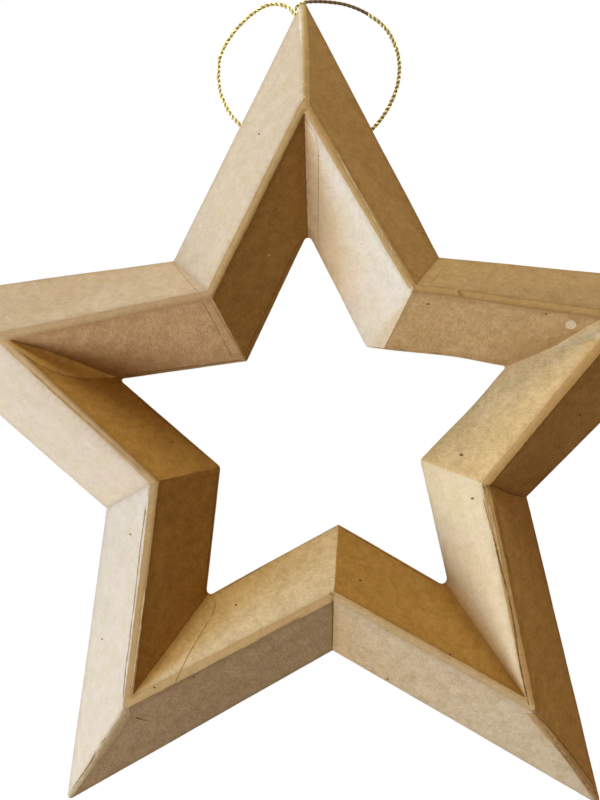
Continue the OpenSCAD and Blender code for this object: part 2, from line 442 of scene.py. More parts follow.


# %% [markdown]
# ## Gold thread
# The threads are brown yarn wrapped in gold foil. They get less foil on the right half of the cord,
# and almost none on a stretch by the tip, which paints the dark reflection there as shade. Two
# materials would need a hard border between foil and yarn. One material does both: an attribute
# named foil says how much foil there is at each point, and it turns the brown yarn into metal by
# degrees.

# %% The gold thread's finish
GOLD = (0.93, 0.78, 0.34)
SHADED_GOLD = tuple(c * 0.75 for c in GOLD)
CORE_BROWN = (0.15, 0.085, 0.03)
GLINT_MM = 0.7
FOIL_METAL = 0.85
YARN_ROUGH, FOIL_SMOOTHER, GLINT_SMOOTHER = 0.55, 0.18, 0.15


def gold_thread():
    """Brown yarn that turns into gold foil where the mesh says that foil is left."""
    it = Finish("gold thread", Specular_IOR_Level=0.25)
    foil = it.attribute("foil")
    glint = it.grain(GLINT_MM, detail=2)
    return it.set(
        Base_Color=it.mixed(foil, CORE_BROWN, it.mixed(glint * 0.5, GOLD, SHADED_GOLD)),
        Metallic=foil * FOIL_METAL,
        Roughness=YARN_ROUGH - foil * (FOIL_SMOOTHER + glint * GLINT_SMOOTHER),
    )


gold_yarn = gold_thread()
print("gold finish made:", gold_yarn.name)

# %% [markdown]
# ## Core and threads
# A bumped tube would look like a wire. Here the core is one tube and the two threads are tubes that
# wind round it, all in one mesh, because it is one cord. On the real one a stretch on the right of
# the tip is a little thinner and looks dark, and there the threads get almost no foil, as painted
# shade.

# %% Core and threads
CORE_R = 0.38
CORE_SIDES = 10
THREAD_R = 0.22
THREAD_SIDES = 7
THREAD_AT = 0.34
THREADS = 2
LAY_LENGTH = 2.4
DARK_STRETCH_X = (1.0, 17.0)
DARK_STRETCH_Z = 10.5
DARK_STRETCH_SLIM = 0.7
# Painted shade: little foil on the dark stretch by the tip; less foil on the right half of the cord.
DARK_STRETCH_FOIL = (0.1, 0.1, 0.1)
RIGHT_HALF_FOIL = (0.8, 0.8, 0.8)
CORE_SHINE = 0.3


def is_thin_dark_stretch(centre):
    """Whether the cord there is the thinner, darker stretch near the tip on the right."""
    return DARK_STRETCH_X[0] * MM < centre.x < DARK_STRETCH_X[1] * MM and centre.z > DARK_STRETCH_Z * MM


def foil_with_painted_shade(centre):
    """How much foil the threads get: little on the dark stretch, as painted shade, less on the right half,
    and most on the left.
    """
    if is_thin_dark_stretch(centre):
        return DARK_STRETCH_FOIL
    return RIGHT_HALF_FOIL if centre.x > 0 else WHITE


def core_shine(centre):
    """What the foil of the threads lends to the core between them."""
    return tuple(CORE_SHINE * f * f for f in foil_with_painted_shade(centre))


def wound_round(line, thread, step_mm, reach_mm):
    """A thread wound round a line, at a reach from it that may change from place to place."""
    wound = []
    for i, (centre, (a, b)) in enumerate(zip(line, frames_along(line))):
        angle = math.tau * (i * step_mm / LAY_LENGTH + thread / THREADS)
        wound.append(centre + (a * math.cos(angle) + b * math.sin(angle)) * reach_mm(centre) * MM)
    return wound


cord_build = Build()
cord_build.tube(cord_line[::2], CORE_R * MM, CORE_SIDES, mark=core_shine)
for thread in range(THREADS):
    wound = wound_round(cord_line, thread, CORD_STEP_MM,
                        lambda centre: THREAD_AT * (DARK_STRETCH_SLIM if is_thin_dark_stretch(centre) else 1.0))
    cord_build.tube(wound, THREAD_R * MM, THREAD_SIDES, mark=foil_with_painted_shade)
cord = cord_build.piece("gold_cord_loop", gold_yarn, "gold_cord", mark_name="foil")
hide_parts("hanging_cord")
print("cord mesh:", len(cord_build.faces), "faces")

# %% [markdown]
# ## The knot inside the point
# The two ends of the cord are tied together inside the hollow point, so that they can't slip out of
# the hole. Nobody sees the knot, but the solid model holds its place. A true knot would be a study
# of its own. A tight coil of the same cord is enough here, made as the loop is.

# %% The knot
KNOT_R = 0.8
KNOT_CORE_R = 0.6
KNOT_THREAD_AT = 0.45
KNOT_TURNS = 2.25
KNOT_STEPS = 60
KNOT_STEP_MM = 0.19
KNOT_FROM_Y, KNOT_DEPTH = -1.8, 1.2

knot_line = []
for i in range(KNOT_STEPS + 1):
    angle = math.tau * KNOT_TURNS * i / KNOT_STEPS
    depth = KNOT_FROM_Y - KNOT_DEPTH * i / KNOT_STEPS
    knot_line.append(Vector((math.cos(angle) * KNOT_R, depth, math.sin(angle) * KNOT_R)) * MM)
knot_build = Build()
knot_build.tube(knot_line, KNOT_CORE_R * MM, CORE_SIDES)
for thread in range(THREADS):
    wound = wound_round(knot_line, thread, KNOT_STEP_MM, lambda centre: KNOT_THREAD_AT)
    knot_build.tube(wound, THREAD_R * MM, THREAD_SIDES, mark=WHITE)
knot = knot_build.piece("cord_end_knot", gold_yarn, "gold_cord", mark_name="foil")
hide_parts("cord_knot")

[tuple(p) for p in cord_line]
print("knot mesh:", len(knot_build.faces), "faces")

# %% [markdown]
# ## Folded cards
# Each card is die-cut and folded, so its edges are a little round and its faces a little wavy. The
# solids have sharp edges. A bevel and a displace modifier would do, but the big triangles of a
# solid give the waves nothing to hold on to. So each solid is copied, its edges softened, and the
# copy diced into a fine grid. One field of noise then bends all pieces together, so that nothing
# comes apart, and each point is kept inside the box of the solid model. Two places on the right are
# bowed further, as in the photograph: they are given by x and z, a reach, and the push there.
# Blender draws the start of this noise by the clock unless it is given a seed. It gets one here,
# so the star is the same in each run.

# %% Waves of hand-made card
CENTRE_Z = -91
TARGET = Vector((0, 0, CENTRE_Z)) * MM
WAVES = [(17, 0.13), (5, 0.035)]
NOISE_START = Vector((3.7, 9.1, 5.3))
NOISE_SEED = 1
noise.seed_set(NOISE_SEED)
FRAY_SIZE_MM = 1.2
FOLD_DEG = 24
FLAT_DEG = 0.8
WEAR_MM = 0.9
ROOM_MM = 0.17
SAME_PLACE, ON_CUT = 1e-6, 1e-7
BOWED_EDGES = [
    ((33.0, -73.7), 9.5, (0.05, 0.6)),
    ((36.5, -85.5), 9.5, (0.36, -0.3)),
]


def bent(point):
    """Where a point of the exact model lies on the hand-made star."""
    moved = point.copy()
    for size, amount in WAVES:
        moved += noise.noise_vector(point / (size * MM) + NOISE_START) * amount * MM
    for (x, z), reach, (push_x, push_z) in BOWED_EDGES:
        away = math.hypot(point.x / MM - x, point.z / MM - z) / reach
        moved += Vector((push_x, 0, push_z)) * math.exp(-away * away) * MM
    return moved


def kept_inside(point):
    """The nearest place in the box of the solid model, with room for what is glued on."""
    room = ROOM_MM * MM
    return Vector(max(low + room, min(high - room, c)) for c, low, high in zip(point, *cad_box))


def far_from(point, edges):
    """Distance to the nearest of some edges, given by their two ends."""
    best = 1.0
    for a, along, length in edges:
        t = max(0.0, min(length, (point - a).dot(along)))
        best = min(best, (point - a - along * t).length)
    return best


# %% From a solid to soft card
def softened(node, round_mm, grid_mm, fray_mm=0.0):
    """A copy of a solid with rounded edges, diced and bent, as a mesh with the wear along its edges."""
    bm = bmesh.new()
    bm.from_mesh(nodes[node].data)
    bmesh.ops.remove_doubles(bm, verts=bm.verts, dist=SAME_PLACE)
    bmesh.ops.dissolve_limit(bm, angle_limit=math.radians(FLAT_DEG), verts=bm.verts, edges=bm.edges)
    sharp = [e for e in bm.edges if e.calc_face_angle(0.0) > math.radians(FOLD_DEG)]
    folds = []
    for e in sharp:
        a, b = e.verts[0].co.copy(), e.verts[1].co.copy()
        folds.append((a, (b - a).normalized(), (b - a).length))
    bmesh.ops.bevel(
        bm, geom=sharp, offset=round_mm * MM, offset_type="OFFSET", segments=2, profile=0.5,
        affect="EDGES", clamp_overlap=True,
    )
    low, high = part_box(node)
    for axis in (0, 2):
        normal = Vector((axis == 0, 0, axis == 2))
        for k in range(math.ceil(low[axis] / MM / grid_mm), math.floor(high[axis] / MM / grid_mm) + 1):
            bmesh.ops.bisect_plane(
                bm, geom=bm.verts[:] + bm.edges[:] + bm.faces[:], dist=ON_CUT,
                plane_co=normal * k * grid_mm * MM, plane_no=normal,
            )
    wear = bm.verts.layers.float.new("wear")
    for v in bm.verts:
        v[wear] = max(0.0, 1 - far_from(v.co, folds) / (WEAR_MM * MM))
        frayed = noise.noise_vector(v.co / (FRAY_SIZE_MM * MM)) * fray_mm * MM
        v.co = kept_inside(bent(v.co) + Vector((frayed.x, 0, frayed.z)))
    return bm


def dressed(node, name, material, slot, paper, **how):
    """A softened copy of a node as a piece that stands for it, in the paper's colour."""
    bm = softened(node, **how)
    mesh = bpy.data.meshes.new(name)
    bm.to_mesh(mesh)
    bm.free()
    mesh.materials.append(material)
    sheet = mesh.attributes.new("sheet", "FLOAT_COLOR", "CORNER")
    colours = []
    for face in mesh.polygons:
        face.use_smooth = True
        for corner in face.vertices:
            colours += with_mottle(paper(mesh.vertices[corner].co, face.normal))
    sheet.data.foreach_set("color", colours)
    mesh.set_sharp_from_angle(angle=math.radians(SHARP_DEG))
    piece = placed(bpy.data.objects.new(name, mesh))
    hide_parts(node)
    return piece


# %% [markdown]
# ## Sheets of paper
# Each leg of the star has its own tint. It is partly the sheet's own tone, which differs at random
# from sheet to sheet, and partly painted light and shade: legs that face the light are mostly painted
# paler and bluer, and legs turned from it darker and warmer. The cards follow each other round
# the star every 36 degrees, an outer one at each tip and an inner one at each notch, and the
# fold in the middle of a card parts its two legs. A tint says how far a sheet is from plain kraft
# in red, green and blue, and its last number says how cloudy the sheet is. The inner cards are
# painted darker in the valleys, where one meets the next, as painted shade. A tape is folded over
# the ridge, and its two halves are painted with the light and shade of the slopes beside them, so
# for each leg of a tape a pair of tints runs from the inner slope to the outer one. Painting each
# face by hand would do for one picture, but a rule by place and by the way a face looks also holds
# at the sides and the back.

# %% Which leg is of which paper
# Tints of the legs: partly each sheet's own tone, partly painted light and shade. The palest legs face the
# light, and the deepest are turned from it.
ASHEN = (0.915, 0.94, 1.21, 0.65)
CREAMY = (0.94, 0.965, 1.17, 0.8)
MOSSY = (0.875, 0.95, 1.33, 1.4)
DULL = (0.91, 0.90, 1.01, 1.3)
GREY = (0.83, 0.86, 1.03, 1.5)
DUSKY = (0.725, 0.73, 0.885, 1.5)
PALEST_LIT = (1.20, 1.385, 2.03, 0.75)
PALER_LIT = (1.105, 1.27, 1.89, 0.95)
PALE = (1.12, 1.17, 1.34, 0.75)
TAN = (1.17, 1.24, 1.37, 1.45)
WARM = (1.09, 1.04, 0.92, 1.6)
ROSY = (0.825, 0.74, 0.675, 1.6)
DIM = (0.895, 0.81, 0.86, 1.6)
GOLDEN = (0.97, 0.88, 0.67, 1.5)
DEEP = (0.765, 0.63, 0.39, 1.8)
CARDS_ROUND = [
    ("outer_card_top", CREAMY, DULL),
    ("inner_card_upper_right", PALEST_LIT, ROSY),
    ("outer_card_right", MOSSY, DEEP),
    ("inner_card_right", WARM, PALE),
    ("outer_card_lower_right", WARM, GREY),
    ("inner_card_bottom", GOLDEN, TAN),
    ("outer_card_lower_left", DUSKY, ASHEN),
    ("inner_card_left", DEEP, GOLDEN),
    ("outer_card_left", ASHEN, PALER_LIT),
    ("inner_card_upper_left", DIM, DEEP),
]
# Tints of the tapes, a pair for each leg from the inner slope to the outer one: painted light and shade of
# the slopes beside them.
TAPES_ROUND = [
    ("ridge_tape_top",
     ((0.55, 0.46, 0.36), (1.06, 1.06, 1.10)), ((1.25, 1.30, 1.50), (0.86, 0.77, 0.62))),
    ("ridge_tape_right",
     ((0.76, 0.66, 0.58), (0.98, 0.92, 0.81)), ((1.17, 1.12, 1.10), (0.93, 0.82, 0.68))),
    ("ridge_tape_lower_right",
     ((1.05, 1.0, 0.95), (0.84, 0.74, 0.62)), ((0.95, 0.93, 0.92), (1.06, 1.13, 1.37))),
    ("ridge_tape_lower_left",
     ((0.97, 0.95, 0.97), (0.93, 0.91, 0.95)), ((0.66, 0.58, 0.52), (0.93, 0.90, 0.95))),
    ("ridge_tape_left",
     ((0.48, 0.36, 0.22), (1.05, 1.04, 1.18)), ((0.76, 0.70, 0.76), (0.93, 0.92, 1.08))),
]
TAPE_YELLOW = (0.72, 0.515, 0.235)
BOARD_TAN = tuple(c * 0.97 for c in KRAFT)
CARD_TURN = 36
FOLD_ZONE_MM = 6.0
# Painted shade in the valleys: how much red, green and blue is lost there, and how fast that fades.
VALLEY_SHADE_LOSS = (0.20, 0.28, 0.40)
VALLEY_MM = 1.8
INNER_UP_TO_MM = -0.7
OUTER_FROM_MM = 0.2


# %% The colour at a place
def tinted(tint, base=KRAFT):
    """The colour of a tinted paper, followed by its cloudiness where the tint has one."""
    return tuple(k * t for k, t in zip(base, tint)) + tuple(tint[3:])


def across_fold(order):
    """The way that leads clockwise over the middle fold of a card or tape."""
    middle = math.radians(CARD_TURN) * order
    return Vector((math.cos(middle), 0, -math.sin(middle)))


def card_legs(order, before, after):
    """The colour of a card: by place far from its fold, and by the way it faces near it."""
    across = across_fold(order)
    valleys = [across_fold(order - 1), across_fold(order + 1)] if order % 2 else []

    def colour(at, facing):
        side = (at - TARGET).dot(across)
        if abs(side) < FOLD_ZONE_MM * MM:
            side = facing.dot(across) * -facing.y
        tint = after if side > 0 else before
        # Painted shade: near the valleys where two inner cards meet, the tint is darkened.
        away = min((abs((at - TARGET).dot(valley)) for valley in valleys), default=1.0)
        valley_shade = math.exp(-away / (VALLEY_MM * MM))
        return tinted([t * (1 - loss * valley_shade) for t, loss in zip(tint, VALLEY_SHADE_LOSS)] + [tint[3]])

    return colour


def tape_legs(order, before, after):
    """The colour of a tape, from that of the inner slope to that of the outer one: painted light and shade.
    """
    across = across_fold(order)

    def colour(at, _):
        inner, outer = after if (at - TARGET).dot(across) > 0 else before
        outward = (inner_cards.find_nearest(at)[3] - outer_cards.find_nearest(at)[3]) / MM
        share = (outward - INNER_UP_TO_MM) / (OUTER_FROM_MM - INNER_UP_TO_MM)
        return tinted(Vector(inner).lerp(Vector(outer), max(0.0, min(1.0, share))), TAPE_YELLOW)

    return colour


def search_tree(pieces):
    """One search tree over the meshes of some pieces."""
    points, faces = [], []
    for piece in pieces:
        first = len(points)
        points += [v.co.copy() for v in piece.data.vertices]
        faces += [[first + i for i in face.vertices] for face in piece.data.polygons]
    return BVHTree.FromPolygons(points, faces)


# %% Cards, tapes and the back
shown = []
for order, (node, before, after) in enumerate(CARDS_ROUND):
    paper = card_legs(order, before, after)
    shown.append(dressed(node, "folded_" + node, card_paper, "kraft_card", paper,
                         round_mm=0.16, grid_mm=1.4))
outer_cards, inner_cards = search_tree(shown[::2]), search_tree(shown[1::2])
for order, (node, before, after) in enumerate(TAPES_ROUND):
    paper = tape_legs(2 * order, before, after)
    shown.append(dressed(node, "paper_" + node, tape_paper, "kraft_tape", paper,
                         round_mm=0.1, grid_mm=0.6, fray_mm=0.12))
shown.append(dressed("back_panel", "back_board", board_paper, "back_board", lambda at, facing: BOARD_TAN,
                     round_mm=0.12, grid_mm=2.0))
cards = search_tree(shown)
print("faces in the cards:", sum(len(p.data.polygons) for p in shown))

# %% [markdown]
# ## Laying paper on the star
# The star is folded by hand, so strips of paper bridge its valleys and tips, card edges gape a
# little at the corners, and a few fibres stand up. Each is a thin mesh: paper, or a dark strip that
# paints the shadow in a gap. Its place is read from the photograph, so it is written as points
# of the picture: a ray from the camera through such a point finds the spot on the finished cards,
# and the paper is laid on them there. So it sits on the star from every side.

# %% From the picture to the card
def seen_at(px, py):
    """The spot on the cards under a pixel, and the way the card faces there."""
    ray = sight(px, py)
    at, facing, _, _ = cards.ray_cast(CAMERA_AT, ray)
    if at is None:
        at, facing, _, _ = cards.find_nearest(CAMERA_AT + ray * (TARGET - CAMERA_AT).length)
    return at, facing


# %% Strips along a line and tabs inside an outline
SUNK_MM = 0.04
STEP_PX = 2.0
LINE_STEPS = 8
TIP_STEPS = 3
BLUNT = 0.4
ON_CUT_PX = 1e-4
WAVER = 0.9
WAVER_MM = 1.1


def strip(build, pixels, width_mm, height_mm, colour):
    """A thin strip laid along a line of the picture, narrow at its ends and uneven in width."""
    line = even_line(smooth_line([Vector((x, y, 0)) for x, y in pixels], LINE_STEPS), STEP_PX)
    spots = [seen_at(p.x, p.y) for p in line]
    points, faces = [], []
    for i, (at, facing) in enumerate(spots):
        head = spots[min(i + 1, len(spots) - 1)][0] - spots[max(i - 1, 0)][0]
        side = head.cross(facing).normalized()
        from_end = min(i, len(spots) - 1 - i) + BLUNT
        half = width_mm / 2 * MM * min(1.0, from_end / TIP_STEPS)
        half *= 1 + WAVER * noise.noise(at / (WAVER_MM * MM))
        for across, lift in ((-1, -SUNK_MM), (-1, height_mm), (1, height_mm), (1, -SUNK_MM)):
            foot, out, _, _ = cards.find_nearest(at + side * across * half)
            points.append(foot + out * lift * MM)
    for i in range(len(spots) - 1):
        for k in range(4):
            p, q = i * 4 + k, i * 4 + (k + 1) % 4
            faces.append((p, q, q + 4, p + 4))
    faces += [(3, 2, 1, 0), tuple(len(points) - 4 + k for k in range(4))]
    build.add(points, faces, [colour] * len(points))


def tab(build, outline, height_mm, colour):
    """A thin sheet cut to an outline of the picture and glued on the cards.

    Its colour may depend on the way that the card under it faces.
    """
    bm = bmesh.new()
    bm.faces.new([bm.verts.new((x, y, 0)) for x, y in outline])
    for axis in (0, 1):
        low, high = min(p[axis] for p in outline), max(p[axis] for p in outline)
        normal = Vector((axis == 0, axis == 1, 0))
        for k in range(1, math.ceil((high - low) / STEP_PX)):
            bmesh.ops.bisect_plane(
                bm, geom=bm.verts[:] + bm.edges[:] + bm.faces[:], dist=ON_CUT_PX,
                plane_co=normal * (low + k * STEP_PX), plane_no=normal,
            )
    lifted = bmesh.ops.extrude_face_region(bm, geom=bm.faces[:])["geom"]
    for v in lifted:
        if isinstance(v, bmesh.types.BMVert):
            v.co.z = 1
    marks = []
    for v in bm.verts:
        at, facing = seen_at(v.co.x, v.co.y)
        v.co = at + facing * (height_mm if v.co.z > 0.5 else -SUNK_MM) * MM
        marks.append(colour(facing) if callable(colour) else colour)
    bmesh.ops.recalc_face_normals(bm, faces=bm.faces[:])
    bm.verts.index_update()
    build.add([v.co.copy() for v in bm.verts], [[v.index for v in f.verts] for f in bm.faces], marks)
    bm.free()


# %% Colours of the small pieces
GAP_SHADOW_BROWN = (0.12, 0.065, 0.03)
CREASE_SHADE_BROWN = (0.26, 0.155, 0.06)
SEAM_BROWN = (0.40, 0.265, 0.12)
FAINT_BROWN = (0.50, 0.36, 0.19)
TORN_PALE = (0.78, 0.63, 0.40)
BAND_GOLD = (0.80, 0.58, 0.27)
BAND_ROSY = (0.70, 0.54, 0.36)
BAND_PALE = (0.72, 0.58, 0.37)
BAND_DULL = (0.60, 0.42, 0.20)
TIP_BAND_ON_LIT_SLOPE = (0.41, 0.24, 0.095)
TIP_BAND_ON_SHADED_SLOPE = (0.78, 0.58, 0.32)
BAND_GREY = (0.50, 0.385, 0.23)

# %% [markdown]
# ## Paper bands
# Where two cards meet in a valley or at a tip, the maker has glued a band of paper over the joint.
# Its colour differs from the cards beside it, so it shows as a strip with a soft edge. A decal or a
# mask in the card's material would look flat from the side. A thin closed sheet, cut to the band's
# outline and glued on, has an edge that catches the light. At the lower right tip the band is seen
# on both sides of the fold, darker on one. Its colour goes by the slope under it: it is painted
# darker on the lit slope and paler on the shaded one, as painted light and shade.

# %% Paper bands over valleys and tips
BAND_MM = 0.09
TOP_CREASE = [(298.6, 5), (305.2, 5), (307, 20), (309.2, 50), (309.5, 104.5), (304.6, 98.5),
              (301.1, 103), (301, 50), (299, 20)]
TOP_VALLEY = [(304.9, 120), (315, 134), (318.3, 150), (318, 236), (313, 231), (308, 227), (306.9, 200),
              (305.6, 150)]
LEFT_VALLEY = [(10, 340.5), (22, 344), (46, 350.5), (66, 357.5), (95, 369), (117, 377.2),
               (86, 378.5), (66, 375.5), (42, 366), (24, 354), (12, 345)]
RIGHT_VALLEY = [(612, 316), (599, 320), (588, 325.5), (576, 333), (564, 340.5), (548, 350), (556, 351.3),
                (575, 345), (599, 337), (612, 333)]
LOWER_RIGHT_TIP = [(526.5, 713), (535, 713.5), (550, 730), (568, 752), (584, 773), (597, 791),
                   (590, 793), (572.5, 768), (557, 749), (538.5, 728)]
LOWER_LEFT_TIP = [(129, 707), (131, 715), (114, 741), (95, 766), (74, 794), (70.5, 791.5),
                  (91.5, 763), (103, 744), (112, 731), (123, 716)]
ON_PALE_FOOT, ON_DARK_FOOT = (500, 720), (555, 690)

bands = Build()
tab(bands, TOP_CREASE, BAND_MM, BAND_PALE)
tab(bands, TOP_VALLEY, BAND_MM, BAND_ROSY)
tab(bands, LEFT_VALLEY, BAND_MM, BAND_GOLD)
tab(bands, RIGHT_VALLEY, BAND_MM, BAND_DULL)
pale_foot, dark_foot = seen_at(*ON_PALE_FOOT)[1], seen_at(*ON_DARK_FOOT)[1]
# Painted light and shade: the band's colour is picked by which slope it lies on.
tab(bands, LOWER_RIGHT_TIP, BAND_MM,
    lambda facing: TIP_BAND_ON_LIT_SLOPE if facing.dot(pale_foot) > facing.dot(dark_foot) else TIP_BAND_ON_SHADED_SLOPE)
tab(bands, LOWER_LEFT_TIP, BAND_MM, BAND_GREY)
bands.piece("glued_paper_bands", scrap_paper, "kraft_tape", "sheet")
print("faces in the bands:", len(bands.faces))

# %% [markdown]
# ## The lapped sheet
# At the upper right corner of the opening the pale sheet of one card runs on over the fold and is
# glued down on the brown card beside it. It takes the pale card's tint and its cloudiness, and where
# it lies on the brown slope it is painted paler still, as painted light, so that it looks as lit as
# the pale slope. It is laid on as the bands are.

# %% The pale sheet lapped over the upper right corner
LAPPED_SHEET = [(411.5, 286), (414, 288), (384, 348), (380, 347.5), (364, 346), (376, 331)]
# Painted light on the part of the sheet that lies on the brown slope.
LAP_LIGHT_GAIN = 1.13
ON_PALE_SLOPE, ON_BROWN_SLOPE = (360, 300), (440, 330)
pale_slope = seen_at(*ON_PALE_SLOPE)[1]
brown_slope = seen_at(*ON_BROWN_SLOPE)[1]


def lap_colour(facing):
    """Painted light: the pale sheet is painted paler where it lies on the brown slope, to look as lit as the
    pale slope.
    """
    gain = LAP_LIGHT_GAIN if facing.dot(brown_slope) > facing.dot(pale_slope) else 1.0
    return tinted([gain * t for t in PALEST_LIT[:3]] + [PALEST_LIT[3]])


lap = Build()
tab(lap, LAPPED_SHEET, BAND_MM, lap_colour)
lap.piece("lapped_sheet_upper_right", card_paper, "kraft_card", "sheet")
print("faces in the lapped sheet:", len(lap.faces))

# %% [markdown]
# ## Seams, gaps and rubbed edges
# Where cut edges of card don't quite close, the gap is in shade, and a thin dark strip paints that
# shadow; such strips also paint the shade in slits and creases and along cut edges turned from the
# light. A folded edge is rubbed pale, and a sheet that ends on another leaves a faint seam. They are
# a fifth to a third of a millimetre wide and broken up by hand work. Edges drawn by the renderer
# would be even and would follow every fold. So each is a strip along its own line, whose width
# wavers and thins out to nothing. The kinds differ in width, height over the card, and colour.

# %% Lines of the picture
# Painted shadow: dark strips where gaps between cut edges lie in shade.
GAP_SHADOW_LINES = [
    [(383.5, 348.2), (385.5, 345), (388, 341)],
    [(399, 348.6), (406, 351)],
    [(430, 353), (438, 354), (446, 355.5)],
    [(320, 536), (326, 529.5), (332, 525)],
]
# Painted shade: dark strips in slits beside the tapes and in creases.
CREASE_SHADE_LINES = [
    [(483.2, 499), (490, 525), (498, 555), (503, 575), (508, 594)],
    [(508, 594), (514, 625), (520, 665), (529, 706)],
    [(490, 484.5), (497, 487), (504, 491), (513, 494), (524, 497)],
    [(146, 505), (140, 550), (134.5, 600), (132, 618)],
    [(132, 618), (129, 645), (125.5, 670), (123, 699)],
    [(106, 737.5), (103, 741), (100, 745)],
    [(96, 751), (90, 763), (72, 789)],
    [(527.5, 714.5), (535.5, 715)],
    [(332, 597), (332.5, 622), (332, 650)],
    [(147.5, 482), (150.5, 486), (148, 492), (149.5, 500)],
]
SEAM_LINES = [
    [(200, 298), (210, 316), (222, 338), (232, 357)],
    [(208, 298), (226, 328), (245, 360)],
    [(215, 600), (213.5, 612), (202, 632), (190, 652), (180, 672), (174.5, 684)],
    [(536, 715), (551, 730.5), (569, 752), (585, 773), (596, 789)],
    [(495, 500), (500, 524), (506, 552), (511, 576)],
    [(150, 700), (220, 661), (300, 617)],
    [(416.7, 293), (404, 314), (390, 338)],
]
FAINT_LINES = [
    [(24, 354.5), (42, 366.5), (66, 376), (86, 379), (118, 378)],
    [(172.5, 262.5), (186, 279), (200, 294)],
    [(448, 263), (439, 273.5), (430, 284)],
    [(600, 337), (580, 343), (561, 349)],
    [(318.3, 150), (318.3, 190), (318, 234)],
    [(306.8, 22), (309.6, 50), (309.6, 96)],
    # Painted shade beside the crease of the bottom notch.
    [(336, 600), (337.5, 622), (336.5, 646)],
    [(30, 371), (60, 398), (105, 438), (144, 473)],
]
# Painted shade: dark strips along cut edges of the opening that are turned from the light.
EDGE_SHADE_LINES = [
    [(125, 375.2), (180, 368), (240, 360.2)],
    [(129, 390.4), (170, 425.6), (208, 458)],
    [(217.6, 476), (211, 535), (205, 586)],
    [(222, 590), (275, 559.3), (318, 534.2)],
    [(342, 527.8), (390, 556.2), (434, 582)],
    [(246.5, 352), (271, 300), (299.5, 240)],
]
RUBBED_LINES = [
    [(336, 150), (350, 176), (362, 196), (376, 222), (390, 246), (404, 270)],
    [(145, 590), (138.5, 640), (131.5, 690)],
    [(488.5, 502), (494, 525), (499, 550), (503, 570)],
    [(430, 465), (437, 510), (445, 565)],
]

# %% Strips along the lines
GAP_MM, CREASE_SHADE_MM, SEAM_MM, FAINT_MM, EDGE_SHADE_MM, RUBBED_MM = 0.34, 0.32, 0.26, 0.22, 0.2, 0.2
FLAT_MM, SEAM_HIGH_MM, TORN_HIGH_MM = 0.02, 0.03, 0.05
LINE_KINDS = [
    (GAP_SHADOW_LINES, GAP_MM, FLAT_MM, GAP_SHADOW_BROWN),
    (CREASE_SHADE_LINES, CREASE_SHADE_MM, FLAT_MM, CREASE_SHADE_BROWN),
    (SEAM_LINES, SEAM_MM, SEAM_HIGH_MM, SEAM_BROWN),
    (FAINT_LINES, FAINT_MM, SEAM_HIGH_MM, FAINT_BROWN),
    (EDGE_SHADE_LINES, EDGE_SHADE_MM, FLAT_MM, CREASE_SHADE_BROWN),
    (RUBBED_LINES, RUBBED_MM, TORN_HIGH_MM, TORN_PALE),
]

lines = Build()
for kind, width_mm, height_mm, colour in LINE_KINDS:
    for line in kind:
        strip(lines, line, width_mm, height_mm, colour)
lines.piece("seams_and_rubbed_edges", scrap_paper, "kraft_card", "sheet")
print("strips:", sum(len(kind[0]) for kind in LINE_KINDS), "with faces:", len(lines.faces))

# %% [markdown]
# ## Flecks and hairs
# Kraft pulp holds bits of bark, drops of pale pulp and now and then a loose fibre that stands up.
# The material scatters small ones at random. The large ones stand where the photograph has them:
# each fleck is a point of the picture and a size in millimetres, cut out as an uneven disc, and
# each hair is a thin tube that tapers to nothing.

# %% Flecks, pale dots and stray hairs
FLECKS = [
    (259, 134, 0.5), (173, 442, 0.5), (428, 304, 0.7), (546, 314, 0.6), (557, 349, 0.7), (461.5, 455, 0.9),
    (472.5, 498.5, 0.8), (478, 406, 0.4), (580, 415, 0.6), (360, 580.5, 0.6), (387, 630.5, 0.5),
    (387.5, 679, 0.6), (566, 749, 0.6), (450, 655, 0.5), (130.5, 534.5, 0.6), (236, 605, 0.6),
    (194, 677, 0.5), (154.5, 687.5, 0.6), (102, 639, 0.5),
]
PALE_DOTS = [(570.6, 325, 2.5), (200, 226, 0.8), (269, 255, 0.8)]
FLECK_BROWN = (0.18, 0.10, 0.045)
DOT_PALE = (0.68, 0.54, 0.35)
HAIRS = [
    [(458, 291), (460, 295), (462.5, 297)],
    [(136, 717.5), (144, 720), (151, 720.5)],
    [(482, 486), (485, 490), (483.5, 495)],
    [(486, 485), (489, 491), (487, 498)],
    [(330, 593), (332, 596), (335, 595)],
]
FLECK_HIGH_MM, DOT_HIGH_MM = 0.03, 0.01
FLECK_FLAT, DOT_FLAT = 0.7, 0.85
BLOT_CORNERS = 10
BLOT_UNEVEN = 0.25
PX_PER_MM = 4.3
HAIR_R_MM = 0.07
HAIR_HIGH_MM = 0.1
HAIR_SIDES = 6
HAIR_STEPS = 6
HAIR_STEP_PX = 1.0


def blot(build, px, py, size_mm, height_mm, colour, flat):
    """A small uneven disc of bark or pulp on the card."""
    outline = []
    for k in range(BLOT_CORNERS):
        angle = math.tau * k / BLOT_CORNERS
        reach = size_mm / 2 * PX_PER_MM * (1 + BLOT_UNEVEN * noise.noise(Vector((px, py, k))))
        outline.append((px + reach * math.cos(angle), py + reach * flat * math.sin(angle)))
    tab(build, outline, height_mm, colour)


